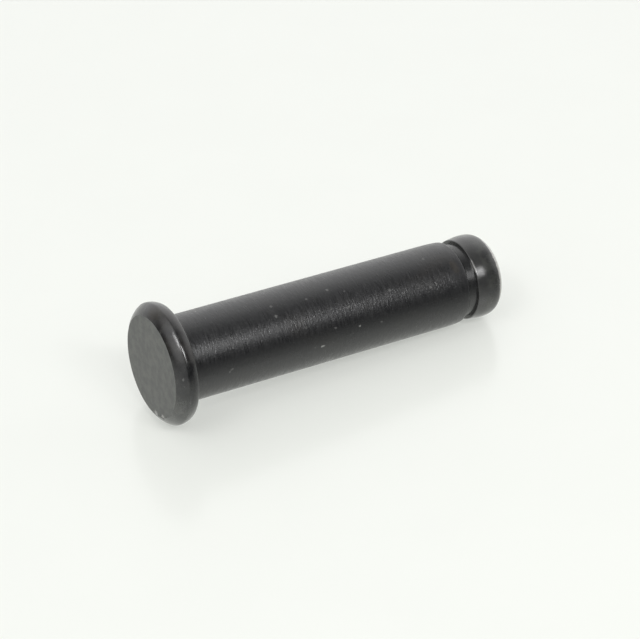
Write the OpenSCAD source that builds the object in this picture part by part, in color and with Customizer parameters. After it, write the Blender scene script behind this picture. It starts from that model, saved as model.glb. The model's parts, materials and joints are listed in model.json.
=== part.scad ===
// Footpeg pivot pin, turned in one piece from steel bar: a flat head with a rounded rim, a plain
// bearing shank, a groove for a retaining clip and a collar with a rounded end.
// The pin stands on its head: the head's face lies on z = 0 and the axis runs up +Z.

/* [Head] */
// Diameter of the head across its widest part
head_d = 11.4; // [10.4:0.1:12.2]
// Thickness of the head, from its face to the seat under it
head_t = 2; // [1.6:0.1:2.4]
// Diameter of the flat on the head's face
face_d = 9.5; // [8.8:0.1:10.4]
// Radius of the rim between the face and the head's widest part
rim_r = 1.35; // [1:0.05:1.6]
// Radius of the fillet in the corner between the seat and the shank
seat_fillet_r = 0.2; // [0.1:0.05:0.4]

/* [Shank] */
// Diameter of the shank, which the collar shares
shank_d = 8; // [7:0.1:9]
// Grip, from the seat under the head to the clip groove
grip_len = 29.5; // [20:0.1:60]
// Length of the shoulder, where the shank curves down to the groove
shoulder_len = 1.8; // [0.5:0.1:4]
// Fall of the shoulder's surface from the shank to the groove
shoulder_drop = 0.12; // [0.05:0.01:0.4]
// Radius of the round between the shoulder and the groove's wall
shoulder_edge_r = 0.35; // [0.1:0.05:0.45]

/* [Clip groove] */
// Width of the groove
groove_w = 0.9; // [0.5:0.05:1.6]
// Diameter of the groove's floor
groove_d = 7; // [5:0.1:7.4]

/* [Collar] */
// Length of the collar, from the groove to the end of the pin
collar_len = 3.1; // [2:0.1:5]
// Radius of the broken edge on the groove's side
collar_edge_r = 0.1; // [0.05:0.01:0.3]
// Radius of the round at the end of the pin
end_r = 1.4; // [0.3:0.1:1.6]

/* [Hidden] */
$fn = 128;
steel_black = [0.23, 0.23, 0.24];

head_r = head_d / 2;
face_r = face_d / 2;
shank_r = shank_d / 2;
groove_r = groove_d / 2;

// The rim's centre lies in the plane of the head's widest part, and its arc cuts the face at face_r
rim_centre_r = head_r - rim_r;
rim_z = sqrt(pow(rim_r, 2) - pow(face_r - rim_centre_r, 2));
// The round on the back of the rim takes up the rest of the head's thickness
rim_back_r = head_t - rim_z;
seat_r = head_r - rim_back_r;

groove_z = head_t + grip_len;
collar_z = groove_z + groove_w;
tail_z = collar_z + collar_len;

// The shoulder's arc leaves the shank without a corner and has fallen by shoulder_drop at the groove
shoulder_z = groove_z - shoulder_len;
shoulder_r = (pow(shoulder_len, 2) + pow(shoulder_drop, 2)) / (2 * shoulder_drop);
shoulder_centre_r = shank_r - shoulder_r;
// The round at the shoulder's edge touches that arc and the groove's wall
shoulder_edge_z = groove_z - shoulder_edge_r;
shoulder_inner_r = shoulder_r - shoulder_edge_r;
shoulder_rise = shoulder_edge_z - shoulder_z;
shoulder_edge_centre_r = shoulder_centre_r + sqrt(pow(shoulder_inner_r, 2) - pow(shoulder_rise, 2));
shoulder_end_rise = shoulder_rise * shoulder_r / shoulder_inner_r;

// Rectangle of the half section, from the axis out to radius r and from height z0 up to z1
module band(r, z0, z1) {
    translate([0, z0])
        square([r, z1 - z0]);
}

// Quarter of a disc about the point [r, z], outwards and above it
module quarter_above(r, z, radius) {
    translate([r, z])
        intersection() {
            circle(radius);
            square(2 * radius);
        }
}

// Quarter of a disc about the point [r, z], outwards and below it
module quarter_below(r, z, radius) {
    translate([r, z])
        mirror([0, 1])
            quarter_above(0, 0, radius);
}

// Flat face, rim of two arcs that meet at the widest part, and seat
module head_section() {
    band(rim_centre_r, 0, rim_z);
    intersection() {
        translate([rim_centre_r, rim_z])
            circle(rim_r);
        translate([rim_centre_r, 0])
            square([head_r, rim_z]);
    }
    band(seat_r, rim_z, head_t);
    quarter_above(seat_r, rim_z, rim_back_r);
}

// Hollow corner between the seat and the shank
module seat_fillet_section() {
    translate([shank_r, head_t])
        difference() {
            square(seat_fillet_r);
            translate([seat_fillet_r, seat_fillet_r])
                circle(seat_fillet_r);
        }
}

// Plain bearing length, the shoulder that curves down from it and the round at its edge
module shank_section() {
    band(shank_r, head_t, shoulder_z);
    intersection() {
        translate([shoulder_centre_r, shoulder_z])
            circle(shoulder_r);
        translate([0, shoulder_z])
            square([shank_d, shoulder_end_rise]);
    }
    band(shoulder_edge_centre_r, shoulder_z, groove_z);
    quarter_above(shoulder_edge_centre_r, shoulder_edge_z, shoulder_edge_r);
}

// Broken edge on the groove's side, plain land and rounded end
module collar_section() {
    land_z0 = collar_z + collar_edge_r;
    land_z1 = tail_z - end_r;
    band(shank_r - collar_edge_r, collar_z, land_z0);
    quarter_below(shank_r - collar_edge_r, land_z0, collar_edge_r);
    band(shank_r, land_z0, land_z1);
    band(shank_r - end_r, land_z1, tail_z);
    quarter_above(shank_r - end_r, land_z1, end_r);
}

// The whole pin, turned about its axis
module pivot_pin() {
    color(steel_black)
        rotate_extrude() {
            head_section();
            seat_fillet_section();
            shank_section();
            band(groove_r, shoulder_z, collar_z);
            collar_section();
        }
}

pivot_pin();
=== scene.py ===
import json
from math import asin, atan2, cos, exp, hypot, pi, radians, sin, tan
import bpy
from mathutils import Matrix, Vector


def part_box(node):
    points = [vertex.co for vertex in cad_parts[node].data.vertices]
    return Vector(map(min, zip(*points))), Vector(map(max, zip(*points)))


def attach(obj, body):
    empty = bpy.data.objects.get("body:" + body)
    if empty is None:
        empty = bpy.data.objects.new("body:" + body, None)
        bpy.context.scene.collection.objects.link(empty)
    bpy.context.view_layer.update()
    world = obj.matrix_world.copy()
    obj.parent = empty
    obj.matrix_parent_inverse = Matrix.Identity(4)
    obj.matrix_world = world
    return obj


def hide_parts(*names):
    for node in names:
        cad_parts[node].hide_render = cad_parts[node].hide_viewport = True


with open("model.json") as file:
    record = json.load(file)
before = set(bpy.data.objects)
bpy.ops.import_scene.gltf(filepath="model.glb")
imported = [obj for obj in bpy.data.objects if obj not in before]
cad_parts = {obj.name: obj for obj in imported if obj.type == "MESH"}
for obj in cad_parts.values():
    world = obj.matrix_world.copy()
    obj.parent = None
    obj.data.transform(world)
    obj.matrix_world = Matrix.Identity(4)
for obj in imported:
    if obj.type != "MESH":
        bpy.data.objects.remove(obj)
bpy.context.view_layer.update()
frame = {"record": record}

# Pivot pin: turned in one piece from steel bar and blackened in a hot oxide bath.
# Head, shank, clip groove and collar are one half section, turned about +Z. Use has
# worn the round at the end to bare steel, and knocks have nicked the head.
MM = 0.001
mounts = {mount["name"]: mount for mount in frame["record"]["mounts"]}
highest_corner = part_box("pivot_pin")[1]
head_r = highest_corner.x
tail_z = highest_corner.z
seat_z = mounts["seat"]["pos_m"][2]
shank_r = mounts["shank"]["dims"]["r_mm"] * MM
groove_r = mounts["clip_groove"]["dims"]["r_mm"] * MM
groove_w = mounts["clip_groove"]["dims"]["length_mm"] * MM
groove_z = mounts["clip_groove"]["pos_m"][2] - groove_w / 2
collar_z = groove_z + groove_w

# Rim: a broad arc from the face's corner to the knee, a tight one to the widest part, and the
# back's arc. The first two radii solve a pair of equations, for the rim's reach and its height.
face_r = 4.75 * MM
face_corner = radians(27)
rim_knee = radians(60)
rim_z = 1.05 * MM
rim_reach = head_r - face_r
broad_out = sin(rim_knee) - sin(face_corner)
broad_up = cos(face_corner) - cos(rim_knee)
tight_out = 1 - sin(rim_knee)
tight_up = cos(rim_knee)
determinant = broad_out * tight_up - broad_up * tight_out
rim_broad_r = (rim_reach * tight_up - rim_z * tight_out) / determinant
rim_tight_r = (broad_out * rim_z - broad_up * rim_reach) / determinant
rim_back_r = 1.6 * MM
seat_edge_r = 0.2 * MM
seat_edge_z = seat_z - seat_edge_r
seat_edge_turn = asin((seat_edge_z - rim_z) / (rim_back_r - seat_edge_r))
seat_r = head_r - rim_back_r + (rim_back_r - seat_edge_r) * cos(seat_edge_turn)
seat_fillet_r = 0.2 * MM

# Face: flat, with a ring of finer facets inside its edge to take the nicks.
nicked_ring_w = 0.6 * MM

# Shoulder: a shallow arc down from the shank, and a round at its edge to the groove's wall.
shoulder_len = 1.8 * MM
shoulder_drop = 0.12 * MM
shoulder_z = groove_z - shoulder_len
shoulder_r = (shoulder_len ** 2 + shoulder_drop ** 2) / (2 * shoulder_drop)
shoulder_edge_r = 0.35 * MM
shoulder_edge_z = groove_z - shoulder_edge_r
shoulder_turn = asin((shoulder_edge_z - shoulder_z) / (shoulder_r - shoulder_edge_r))
shoulder_edge_at = shank_r - shoulder_r + (shoulder_r - shoulder_edge_r) * cos(shoulder_turn)

# Groove: square, its floor a little higher at the collar.
floor_rise = 0.045 * MM

# Collar: a broken edge, a slight cone that widens away from the groove, a crown and the end's round.
collar_edge_r = 0.1 * MM
cone_rise = radians(8.6)
cone_end_z = collar_z + 0.7 * MM
crown_fall = radians(8)
end_r = 1.35 * MM
end_z = tail_z - end_r * (1 - sin(crown_fall))
crown_r = (end_z - cone_end_z) / (sin(cone_rise) + sin(crown_fall))
crown_z = cone_end_z + crown_r * sin(cone_rise)
cone_end_r = shank_r - crown_r * (1 - cos(cone_rise))
edge_z = collar_z + collar_edge_r * (1 - sin(cone_rise))
edge_r = cone_end_r - (cone_end_z - edge_z) * tan(cone_rise)
end_flat_r = shank_r - crown_r + (crown_r - end_r) * cos(crown_fall)


def run(start, end, steps):
    """Points of the half section along a straight run, without its first point."""
    return [tuple(a + (b - a) * i / steps for a, b in zip(start, end)) for i in range(1, steps + 1)]


def arc(centre, radius, start, end, steps):
    """Points of the half section along an arc, its angles measured from outwards to upwards."""
    turns = [start + (end - start) * i / steps for i in range(1, steps + 1)]
    return [(centre[0] + radius * cos(t), centre[1] + radius * sin(t)) for t in turns]


end_centre = (end_flat_r, tail_z - end_r)
crown_centre = (shank_r - crown_r, crown_z)
edge_centre = (edge_r - collar_edge_r * cos(cone_rise), collar_z + collar_edge_r)
shoulder_edge_centre = (shoulder_edge_at, shoulder_edge_z)
shoulder_centre = (shank_r - shoulder_r, shoulder_z)
seat_fillet_centre = (shank_r + seat_fillet_r, seat_z + seat_fillet_r)
rim_back_centre = (head_r - rim_back_r, rim_z)
rim_tight_centre = (head_r - rim_tight_r, rim_z)
rim_broad_centre = (face_r - rim_broad_r * sin(face_corner), rim_broad_r * cos(face_corner))
section = [(0.0, tail_z)]
section += run(section[-1], (end_flat_r, tail_z), steps=12)
section += arc(end_centre, end_r, pi / 2, crown_fall, steps=30)
section += arc(crown_centre, crown_r, crown_fall, -cone_rise, steps=14)
section += run(section[-1], (edge_r, edge_z), steps=6)
section += arc(edge_centre, collar_edge_r, -cone_rise, -pi / 2, steps=10)
section += run(section[-1], (groove_r + floor_rise, collar_z), steps=5)
section += run(section[-1], (groove_r - floor_rise, groove_z), steps=8)
section += run(section[-1], (shoulder_edge_at, groove_z), steps=2)
section += arc(shoulder_edge_centre, shoulder_edge_r, pi / 2, shoulder_turn, steps=16)
section += arc(shoulder_centre, shoulder_r, shoulder_turn, 0, steps=12)
section += run(section[-1], (shank_r, seat_z + seat_fillet_r), steps=40)
section += arc(seat_fillet_centre, seat_fillet_r, pi, 1.5 * pi, steps=10)
section += run(section[-1], (seat_r, seat_z), steps=5)
section += arc((seat_r, seat_edge_z), seat_edge_r, pi / 2, seat_edge_turn, steps=8)
section += arc(rim_back_centre, rim_back_r, seat_edge_turn, 0, steps=16)
section += arc(rim_tight_centre, rim_tight_r, 0, rim_knee - pi / 2, steps=14)
section += arc(rim_broad_centre, rim_broad_r, rim_knee - pi / 2, face_corner - pi / 2, steps=24)
section += run(section[-1], (face_r - nicked_ring_w, 0.0), steps=8)
section += run(section[-1], (0.0, 0.0), steps=12)


class Wire:
    """A socket of a node tree: Python's operators on it add Math nodes, and node() adds any other."""

    def __init__(self, tree, socket=None):
        self.tree = tree
        self.socket = socket

    def node(self, kind, settings=(), inputs=(), out=0):
        """Adds a node: makes its settings, then fills or links its sockets, and gives one output."""
        made = self.tree.nodes.new(kind)
        for name, value in dict(settings).items():
            if name == "stops":
                ramp = made.color_ramp.elements
                while len(ramp) < len(value):
                    ramp.new(1.0)
                for element, (position, grey) in zip(ramp, value):
                    element.position = position
                    element.color = (grey, grey, grey, 1.0)
            else:
                setattr(made, name, value)
        for key, value in dict(inputs).items():
            if isinstance(value, Wire):
                self.tree.links.new(value.socket, made.inputs[key])
            else:
                made.inputs[key].default_value = value
        return Wire(self.tree, made.outputs[out] if len(made.outputs) else None)

    def other(self, out):
        """Another output of the same node."""
        return Wire(self.tree, self.socket.node.outputs[out])

    def math(self, operation, *values):
        return self.node("ShaderNodeMath", {"operation": operation}, dict(enumerate(values)))

    def __add__(self, other):
        return self.math("ADD", self, other)

    def __radd__(self, other):
        return self.math("ADD", other, self)

    def __sub__(self, other):
        return self.math("SUBTRACT", self, other)

    def __rsub__(self, other):
        return self.math("SUBTRACT", other, self)

    def __mul__(self, other):
        return self.math("MULTIPLY", self, other)

    def __rmul__(self, other):
        return self.math("MULTIPLY", other, self)

    def __gt__(self, other):
        return self.math("GREATER_THAN", self, other)

    def larger(self, other):
        return self.math("MAXIMUM", self, other)

    def vector(self, operation, *values, out=0):
        return self.node("ShaderNodeVectorMath", {"operation": operation}, dict(enumerate(values)), out)

    def step(self, start, end):
        """0 below start and 1 above end, or the other way round, with a smooth change between them."""
        settings = {"interpolation_type": "SMOOTHSTEP"}
        flip = start > end
        inputs = {"Value": self, "From Min": min(start, end), "From Max": max(start, end)}
        inputs.update({"To Min": float(flip), "To Max": float(not flip)})
        return self.node("ShaderNodeMapRange", settings, inputs)

    def mix(self, first, second):
        """Colour that goes from first to second as this value goes from 0 to 1."""
        return self.node("ShaderNodeMix", {"data_type": "RGBA"}, {0: self, 6: first, 7: second}, out=2)


# Finish of the pin: satin black oxide over turned steel. The rim and collar are smoother than
# the shank with its turning marks, the face is dull, and bare steel shows where it has worn.
# Sizes and places in the finish are in mm.
oxide = bpy.data.materials.new("black_oxide")
oxide.use_nodes = True
oxide.node_tree.nodes.clear()
bath = Wire(oxide.node_tree)
coordinates = bath.node("ShaderNodeTexCoord", out="Object")
place = bath.node("ShaderNodeVectorMath", {"operation": "SCALE"}, {0: coordinates, "Scale": 1 / MM})
height = bath.node("ShaderNodeSeparateXYZ", inputs={0: place}, out=2)


def grain(size, detail, roughness=0.5):
    """Noise over the pin, with grains of the given size along x, y and z."""
    scaled = bath.vector("DIVIDE", place, size)
    inputs = {"Vector": scaled, "Scale": 1.0, "Detail": detail, "Roughness": roughness}
    return bath.node("ShaderNodeTexNoise", inputs=inputs)


fine_turning = grain((0.9, 0.9, 0.11), detail=2.0).step(0.32, 0.68)
turning = grain((2.4, 2.4, 0.2), detail=3.0, roughness=0.6).step(0.3, 0.7)
dashes = grain((0.4, 0.4, 0.15), detail=2.0).step(0.5, 0.7)
clouds = grain((3.2, 3.2, 5.0), detail=2.0).step(0.5, 0.8)
mottle = grain((0.9, 0.9, 0.9), detail=4.0, roughness=0.6)
mottle_swing = mottle - 0.5
fleck_swing = grain((0.16, 0.16, 0.16), detail=2.0) - 0.5


def at(radius, z, angle):
    """Point at a radius and a height, at an angle in degrees round the pin."""
    return (radius * cos(radians(angle)), radius * sin(radians(angle)), z)


def spot(where, size, ragged=0.9):
    """1 in a small ragged spot about a place, with a soft edge."""
    reach = bath.vector("DIVIDE", bath.vector("SUBTRACT", place, where), size)
    return (bath.vector("LENGTH", reach, out=1) + fleck_swing * ragged).step(1.0, 0.45)


# Zones of the finish, by height.
groove_mm, collar_mm, seat_mm = groove_z / MM, collar_z / MM, seat_z / MM
shank_mm, tail_mm, face_mm = shank_r / MM, tail_z / MM, face_r / MM
face_top, rim_foot = 0.004, 0.012
on_face = height.step(rim_foot, face_top)
on_rim = height.step(face_top, rim_foot) * height.step(seat_mm + 0.05, seat_mm - 0.05)
off_head = 1 - on_face - on_rim
on_shank = off_head * height.step(groove_mm + 0.02, groove_mm - 0.1)
on_collar = height.step(collar_mm - 0.02, collar_mm + 0.02)
in_groove = height.step(groove_mm - 0.06, groove_mm) * (1 - on_collar)
near_collar = on_collar * height.step(collar_mm + 1.6, collar_mm + 0.7)
far_collar = height.step(collar_mm + 0.7, collar_mm + 1.3)

# Bare steel: on the end's round, on the collar's edge and cone, and in the nicks of the face's edge. The
# spot on the collar's edge is worn steel and also a painted glint along that edge.
end_bare, edge_bare_and_glint, cone_bare, nick_bare = 0.85, 0.25, 0.03, 0.5
end_band = height.step(tail_mm - 0.9, tail_mm - 0.55) * height.step(tail_mm - 0.02, tail_mm - 0.13)
bare_and_painted_glint = (end_band + mottle_swing * 1.3 + fleck_swing * 0.9).step(0.3, 0.9) * end_bare
# Worn spot on the collar's edge, made stronger to paint the edge's glint: wear and a painted glint.
worn_edge_and_glint = spot(at(shank_mm, collar_mm + 0.06, -5), (0.95, 0.95, 0.14), ragged=0.6)
bare_and_painted_glint = bare_and_painted_glint.larger(worn_edge_and_glint * edge_bare_and_glint)
bare_and_painted_glint = bare_and_painted_glint.larger(near_collar * cone_bare)
# Angle and size of each nick
nicks = [(123, 0.30), (105, 0.22)]
for angle, size in nicks:
    nick = spot(at(face_mm - 0.15, 0.02, angle), (1.3 * size, 1.3 * size, size), ragged=1.4)
    bare_and_painted_glint = bare_and_painted_glint.larger(nick * nick_bare)

# Dust: one clear speck on the shank, fainter ones, a grain and a thread on the rim, and stray crumbs.
clear_dust, rim_grain_dust, rim_thread_dust, crumb_dust = 0.45, 0.14, 0.05, 0.3
specks = spot(at(shank_mm, 15.4, 45), (0.13, 0.13, 0.27)) * clear_dust
# Height, angle, size and strength of each faint speck
faint_specks = [
    (6.0, 40, 0.14, 0.13),
    (11.4, -12, 0.16, 0.20),
    (11.4, -28, 0.15, 0.13),
    (13.9, 13, 0.13, 0.10),
    (14.9, -24, 0.13, 0.13),
    (16.8, 24, 0.13, 0.11),
    (17.3, -29, 0.15, 0.17),
    (18.6, 2, 0.13, 0.18),
    (18.8, -20, 0.12, 0.10),
    (19.3, 31, 0.11, 0.34),
    (21.6, 34, 0.12, 0.10),
    (23.1, -4, 0.15, 0.16),
    (27.3, 7, 0.14, 0.17),
    (27.9, -36, 0.13, 0.13),
    (28.0, 5, 0.12, 0.13),
]
for z, angle, size, strength in faint_specks:
    faint_speck = spot(at(shank_mm, z, angle), (size, size, 1.3 * size), ragged=1.6)
    specks = specks.larger(faint_speck * strength)
rim_grain = spot(at(5.40, 0.50, 27), (0.14, 0.14, 0.14), ragged=1.6)
specks = specks.larger(rim_grain * rim_grain_dust)
rim_thread = spot(at(5.41, 0.52, 34), (0.09, 0.3, 0.09))
specks = specks.larger(rim_thread * rim_thread_dust)
crumbs = bath.node("ShaderNodeTexVoronoi", inputs={"Vector": place, "Scale": 0.95})
chosen = bath.node("ShaderNodeSeparateColor", inputs={0: crumbs.other("Color")}).step(0.6, 1.0)
crumb = (crumbs + fleck_swing * 0.1).step(0.11, 0.05)
specks = specks.larger(crumb * chosen * off_head * crumb_dust)

# Colours: oxide, browned on the rim, on the shoulder and in clouds, dulled on the face, on the collar and
# in patches, and lighter low on the rim, where the patch is a painted reflection of the bench.
oxide_black = (0.0056, 0.0058, 0.0066, 1.0)
oxide_brown = (0.0170, 0.0140, 0.0105, 1.0)
dull_black = (0.086, 0.089, 0.080, 1.0)
worn_black = (0.042, 0.044, 0.042, 1.0)
dust_grey = (0.46, 0.46, 0.44, 1.0)
bare_steel = (0.56, 0.55, 0.53, 1.0)
browned = spot(at(5.42, 0.5, -50), (1.3, 1.3, 0.8), ragged=1.2)
browned = browned.larger(spot(at(shank_mm, 30.4, -12), (1.0, 1.0, 0.5), ragged=1.2))
browned = browned.larger(clouds * (0.3 + 0.3 * on_rim))
patches = mottle.step(0.35, 0.65)
# Lighter patch low on the rim: a painted reflection of the bench.
rim_low_painted_reflection = on_rim * spot(at(5.4, 0.5, 78), (3.2, 3.2, 2.5)) * 0.6
dull_and_painted_reflection = on_face + 0.1 * in_groove + 0.15 * on_collar + 0.24 * far_collar
dull_and_painted_reflection = dull_and_painted_reflection + rim_low_painted_reflection.larger(0.14 * on_rim * patches)
colour = browned.mix(oxide_black, oxide_brown)
colour = dull_and_painted_reflection.mix(colour, patches.mix(worn_black, dull_black))
colour = specks.mix(colour, dust_grey)
colour = bare_and_painted_glint.mix(colour, bare_steel)

# Roughness of each zone, with a swing along the turning marks and over the mottled skin.
shank_rough = 0.34
roughness = shank_rough
for zone, zone_rough in ((on_rim, 0.20), (on_face, 0.46), (on_collar, 0.19), (in_groove, 0.24)):
    roughness = roughness + (zone_rough - shank_rough) * zone
roughness = roughness + (fine_turning - 0.5) * (0.12 * on_shank)
roughness = roughness + mottle_swing * (0.1 + 0.2 * on_rim + 0.1 * on_collar)

# Relief, in parts of its depth: turning marks, short dashes on the shank and the mottled skin.
relief_depth = 0.005 * MM
turned_share = on_shank + 0.2 * on_collar + 0.3 * in_groove
relief = (fine_turning * 0.4 + turning * 0.4) * turned_share + dashes * on_shank * 1.25
relief = relief + mottle * (0.3 + 2.2 * on_rim + 1.5 * on_face + 1.2 * on_collar)
bumps = bath.node("ShaderNodeBump", inputs={"Distance": relief_depth, "Height": relief})
skin = bath.node(
    "ShaderNodeBsdfPrincipled",
    inputs={"Base Color": colour, "Roughness": roughness, "Metallic": bare_and_painted_glint, "IOR": 1.7, "Normal": bumps},
)
bath.node("ShaderNodeOutputMaterial", inputs={"Surface": skin})

# Lathe: a grid with a row for each point of the half section, rolled up about +Z and joined.
lathe = bpy.data.node_groups.new("lathe", "GeometryNodeTree")
lathe_inputs = {
    "Section": "NodeSocketGeometry",
    "Steps Round": "NodeSocketInt",
    "Joint Gap": "NodeSocketFloat",
    "Sharp Angle": "NodeSocketFloat",
    "Finish": "NodeSocketMaterial",
}
for name, kind in lathe_inputs.items():
    lathe.interface.new_socket(name, in_out="INPUT", socket_type=kind)
lathe.interface.new_socket("Turned", in_out="OUTPUT", socket_type="NodeSocketGeometry")
chuck = Wire(lathe)
half = chuck.node("NodeGroupInput")
steps_round, joint_gap, sharp_angle, finish = (half.other(i) for i in range(1, 5))
rows = chuck.node("GeometryNodeAttributeDomainSize", inputs={"Geometry": half})
sheet = chuck.node("GeometryNodeMeshGrid", inputs={"Vertices X": rows, "Vertices Y": steps_round + 1.0})
spread = chuck.node("ShaderNodeSeparateXYZ", inputs={0: chuck.node("GeometryNodeInputPosition")})
row = (spread + 0.5) * (rows - 1.0)
turn = (spread.other(1) + 0.5) * (2 * pi)
sampled = chuck.node(
    "GeometryNodeSampleIndex",
    {"data_type": "FLOAT_VECTOR"},
    {"Geometry": half, "Value": chuck.node("GeometryNodeInputPosition"), "Index": row.math("ROUND", row)},
)
reach = chuck.node("ShaderNodeSeparateXYZ", inputs={0: sampled})
turned_place = chuck.node(
    "ShaderNodeCombineXYZ",
    inputs={0: reach * turn.math("COSINE", turn), 1: reach * turn.math("SINE", turn), 2: reach.other(2)},
)
body = chuck.node("GeometryNodeSetPosition", inputs={"Geometry": sheet, "Position": turned_place})
body = chuck.node("GeometryNodeMergeByDistance", inputs={"Geometry": body, "Distance": joint_gap})
body = chuck.node("GeometryNodeSetShadeSmooth", inputs={"Geometry": body, "Shade Smooth": True})
corner = chuck.node("GeometryNodeInputMeshEdgeAngle") > sharp_angle
body = chuck.node(
    "GeometryNodeSetShadeSmooth",
    {"domain": "EDGE"},
    {"Geometry": body, "Selection": corner, "Shade Smooth": False},
)
body = chuck.node("GeometryNodeRealizeInstances", inputs={"Geometry": body})
body = chuck.node("GeometryNodeSetMaterial", inputs={"Geometry": body, "Material": finish})
chuck.node("NodeGroupOutput", inputs={0: body})

blank_mesh = bpy.data.meshes.new("half_section")
section_edges = [(i, i + 1) for i in range(len(section) - 1)]
blank_mesh.from_pydata([(r, 0.0, z) for r, z in section], section_edges, [])
blank = bpy.data.objects.new("half_section", blank_mesh)
bpy.context.scene.collection.objects.link(blank)
turning_job = blank.modifiers.new("lathe", "NODES")
turning_job.node_group = lathe
lathe_settings = {
    "Steps Round": 360,
    "Joint Gap": 0.0005 * MM,
    "Sharp Angle": radians(13),
    "Finish": oxide,
}
for item in lathe.interface.items_tree:
    if item.name in lathe_settings:
        turning_job[item.identifier] = lathe_settings[item.name]
evaluated = blank.evaluated_get(bpy.context.evaluated_depsgraph_get())
pin_mesh = bpy.data.meshes.new_from_object(evaluated)
bpy.data.objects.remove(blank)
pin_mesh.name = "turned_pin"

# Nicks: dents in the face's edge, pressed inwards and up, in parts of each nick's size.
nick_depth, nick_reach, nick_falloff = 0.3, 3, 1.5
for angle, size in nicks:
    struck = Vector(at(face_r, 0.0, angle))
    inwards = Vector(at(-0.6, 0.8, angle))
    for vertex in pin_mesh.vertices:
        gap = (vertex.co - struck).length / (size * MM)
        if gap < nick_reach:
            vertex.co += inwards * (nick_depth * size * MM * exp(-nick_falloff * gap ** 2))
pin = bpy.data.objects.new("turned_pin", pin_mesh)
bpy.context.scene.collection.objects.link(pin)
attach(pin, "root")
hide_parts("pivot_pin")

# Bench: a glossy pale sheet under the pin, which lies on its rim and on the round at its end.
# It glows a little, as a sheet lit from below does, and it shows from above only.
support_len = end_centre[1] - rim_back_centre[1]
support_drop = rim_back_centre[0] - end_centre[0]
radii_tilt = asin((end_r - rim_back_r) / hypot(support_len, support_drop))
lying_tilt = atan2(support_drop, support_len) - radii_tilt
rolled = radians(-45)
up = Vector((cos(lying_tilt) * cos(rolled), cos(lying_tilt) * sin(rolled), -sin(lying_tilt)))
along = Vector((0.0, 0.0, 1.0)) - up * up.z
along.normalize()
across = up.cross(along)
air_gap = 0.02 * MM
rim_drop = cos(lying_tilt) * rim_back_centre[0] + sin(lying_tilt) * rim_back_centre[1]
bench_drop = rim_drop + rim_back_r + air_gap
bench_half = 600 * MM
bench_mesh = bpy.data.meshes.new("bench")
corners = [along * a + across * b for a, b in ((-1, -1), (1, -1), (1, 1), (-1, 1))]
bench_mesh.from_pydata([corner * bench_half - up * bench_drop for corner in corners], [], [(0, 1, 2, 3)])
bench = bpy.data.objects.new("bench", bench_mesh)
bpy.context.scene.collection.objects.link(bench)
board = bpy.data.materials.new("pale_board")
board.use_nodes = True
board.node_tree.nodes.clear()
paint = Wire(board.node_tree)
board_place = paint.node("ShaderNodeTexCoord", out="Object")
in_view = paint.node("ShaderNodeLightPath", out="Is Camera Ray")
mirrored = in_view.other("Is Glossy Ray").larger(in_view.other("Is Transmission Ray"))
pale = (0.868, 0.888, 0.842, 1.0)
blotched = (0.985, 0.985, 0.985, 1.0)
black = (0.0, 0.0, 0.0, 1.0)
# Share of the board's tone that is its own glow, to the camera and in reflections
seen_glow, mirrored_glow = 0.52, 1.15
# Loss of that glow at a grazing angle everywhere, and more in front of the shank but not past the head,
# where it is a painted shadow of the pin seen in reflections
grazing_loss, front_painted_shadow = 0.25, 0.62
blotches = paint.node("ShaderNodeTexNoise", inputs={"Vector": board_place, "Scale": 120.0, "Detail": 4.0})
pale_lit = paint.node(
    "ShaderNodeMix",
    {"data_type": "RGBA", "blend_type": "MULTIPLY"},
    {0: blotches.step(0.3, 0.7), 6: (seen_glow * in_view + mirrored).mix(pale, black), 7: blotched},
    out=2,
)
past_head = paint.vector("DOT_PRODUCT", board_place, along, out=1).step(4 * MM, -4 * MM)
in_front = paint.vector("DOT_PRODUCT", board_place, across, out=1).step(2 * MM, -4 * MM)
grazing = paint.node("ShaderNodeLayerWeight", inputs={"Blend": 0.5}, out="Facing")
# In reflections the glow is dimmer in front of the shank: a painted shadow of the pin on the bench.
glow_loss_and_painted_shadow = grazing * (grazing_loss + front_painted_shadow * in_front * (1 - past_head))
pale_glow = (seen_glow * in_view + (mirrored_glow - glow_loss_and_painted_shadow) * mirrored).mix(black, pale)
top_side = paint.node(
    "ShaderNodeBsdfPrincipled",
    inputs={
        "Base Color": pale_lit,
        "Roughness": 0.6,
        "Coat Weight": 1.0,
        "Coat Roughness": 0.2,
        "Emission Color": pale_glow,
        "Emission Strength": 1.0,
    },
)
see_through = paint.node("ShaderNodeBsdfTransparent")
from_below = paint.node("ShaderNodeNewGeometry", out="Backfacing")
one_sided = paint.node("ShaderNodeMixShader", inputs={0: from_below, 1: top_side, 2: see_through})
paint.node("ShaderNodeOutputMaterial", inputs={"Surface": one_sided})
bench_mesh.materials.append(board)


# Camera and studio light: a room that is bright behind the bench and dim behind the camera,
# with soft lights high and low on the left and past the tail, and two strip lamps and a window
# lamp that give the highlights.
def towards(elevation, azimuth):
    """Direction above the bench; azimuth in degrees from the pin's length, towards its far side."""
    e, a = radians(elevation), radians(azimuth)
    return up * sin(e) + along * (cos(e) * cos(a)) + across * (cos(e) * sin(a))


aim = Vector((-0.018, 0.068, 17.379)) * MM
camera_distance = 229.73 * MM
camera_elevation = 35.32
camera_azimuth = -120.08
photo_width = 640
focal_px = 2491.6
eye = towards(camera_elevation, camera_azimuth)
right = up.cross(eye).normalized()
lens = bpy.data.cameras.new("camera")
lens.sensor_width = 36.0
lens.lens = focal_px * lens.sensor_width / photo_width
lens.clip_start = 10 * MM
camera = bpy.data.objects.new("camera", lens)
stand = Matrix((right, eye.cross(right), eye)).transposed().to_4x4()
camera.matrix_world = Matrix.Translation(aim + eye * camera_distance) @ stand
bpy.context.scene.collection.objects.link(camera)
bpy.context.scene.camera = camera

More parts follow.
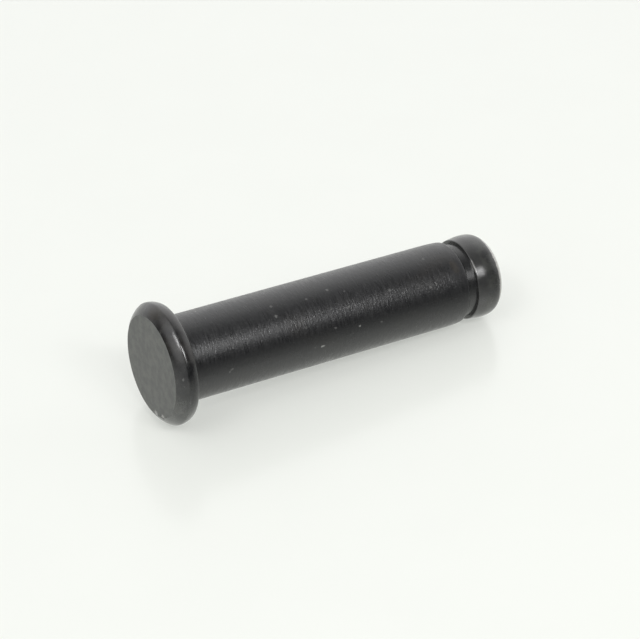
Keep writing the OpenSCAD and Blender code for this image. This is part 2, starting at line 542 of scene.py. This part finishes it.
room = bpy.data.worlds.new("studio")
room.use_nodes = True
room.node_tree.nodes.clear()
air = Wire(room.node_tree)
look = air.node("ShaderNodeTexCoord", out="Object")
camera_ray = air.node("ShaderNodeLightPath", out="Is Camera Ray")
facing = air.vector("DOT_PRODUCT", look, towards(0, camera_azimuth + 180), out=1)
brightest = 1.3
# Brightness of the walls in reflections, from behind the camera, -1, to behind the bench, 1
wall_tones = [
    (-1.0, 0.15),
    (-0.5, 0.08),
    (-0.2, 0.10),
    (0.1, 0.18),
    (0.36, 0.48),
    (0.55, 0.9),
    (0.72, 1.2),
    (1.0, brightest),
]
wall_stops = [((side + 1) / 2, tone / brightest) for side, tone in wall_tones]
mirrored_walls = air.node("ShaderNodeValToRGB", {"stops": wall_stops}, {0: facing * 0.5 + 0.5})


def even_grey(tone):
    """Colour of an even grey."""
    return (tone, tone, tone, 1.0)


# The walls light the bench and pin more evenly than they show in reflections
front_grey = even_grey(0.22 / brightest)
back_grey = even_grey(0.66 / brightest)
lighting_walls = facing.step(0.0, 0.9).mix(front_grey, back_grey)
walls = camera_ray.other("Is Glossy Ray").mix(lighting_walls, mirrored_walls)
# Each soft light's direction, the cosines off it where it starts and is full, and its tone
soft_lights = [
    (towards(55, -175), 0.66, 0.97, 0.8),
    (towards(16, -145), 0.72, 0.98, 0.3),
    (towards(23, -18), 0.91, 0.985, 0.38),
]
for direction, edge, core, tone in soft_lights:
    lit = air.vector("DOT_PRODUCT", look, direction, out=1).step(edge, core)
    walls = air.node(
        "ShaderNodeMix",
        {"data_type": "RGBA", "blend_type": "ADD"},
        {0: lit, 6: walls, 7: even_grey(tone)},
        out=2,
    )
backdrop = (0.93, 0.956, 0.905)
room_colour = camera_ray.mix(walls, (*(c / brightest for c in backdrop), 1.0))
glow = air.node("ShaderNodeBackground", inputs={"Color": room_colour, "Strength": brightest})
air.node("ShaderNodeOutputWorld", inputs={"Surface": glow})
bpy.context.scene.world = room


def soft_lamp(name, start, end, width, radiance, shape):
    """Lamp that faces the pin and reaches from one direction to another, its width in degrees."""
    distance = 450 * MM
    middle = (start + end).normalized()
    length = (end - start).length * distance
    breadth = 2 * tan(radians(width / 2)) * distance
    filled = pi / 4 if shape == "ELLIPSE" else 1
    data = bpy.data.lights.new(name, "AREA")
    data.shape = shape
    data.size = length
    data.size_y = breadth
    data.energy = radiance * pi * length * breadth * filled
    lamp = bpy.data.objects.new(name, data)
    sideways = (end - start - middle * middle.dot(end - start)).normalized()
    turned_to_pin = Matrix((sideways, middle.cross(sideways), middle)).transposed().to_4x4()
    lamp.matrix_world = Matrix.Translation(aim + middle * distance) @ turned_to_pin
    lamp.visible_camera = False
    bpy.context.scene.collection.objects.link(lamp)


soft_lamp("strip_left", towards(55, 179), towards(44, -140), width=9, radiance=8.0, shape="ELLIPSE")
soft_lamp("strip_front", towards(55, -113), towards(39, -72), width=8, radiance=12.5, shape="RECTANGLE")
soft_lamp("window", towards(40, -86), towards(39.5, -64.2), width=23, radiance=4.1, shape="RECTANGLE")

bpy.context.scene.view_settings.view_transform = "Standard"
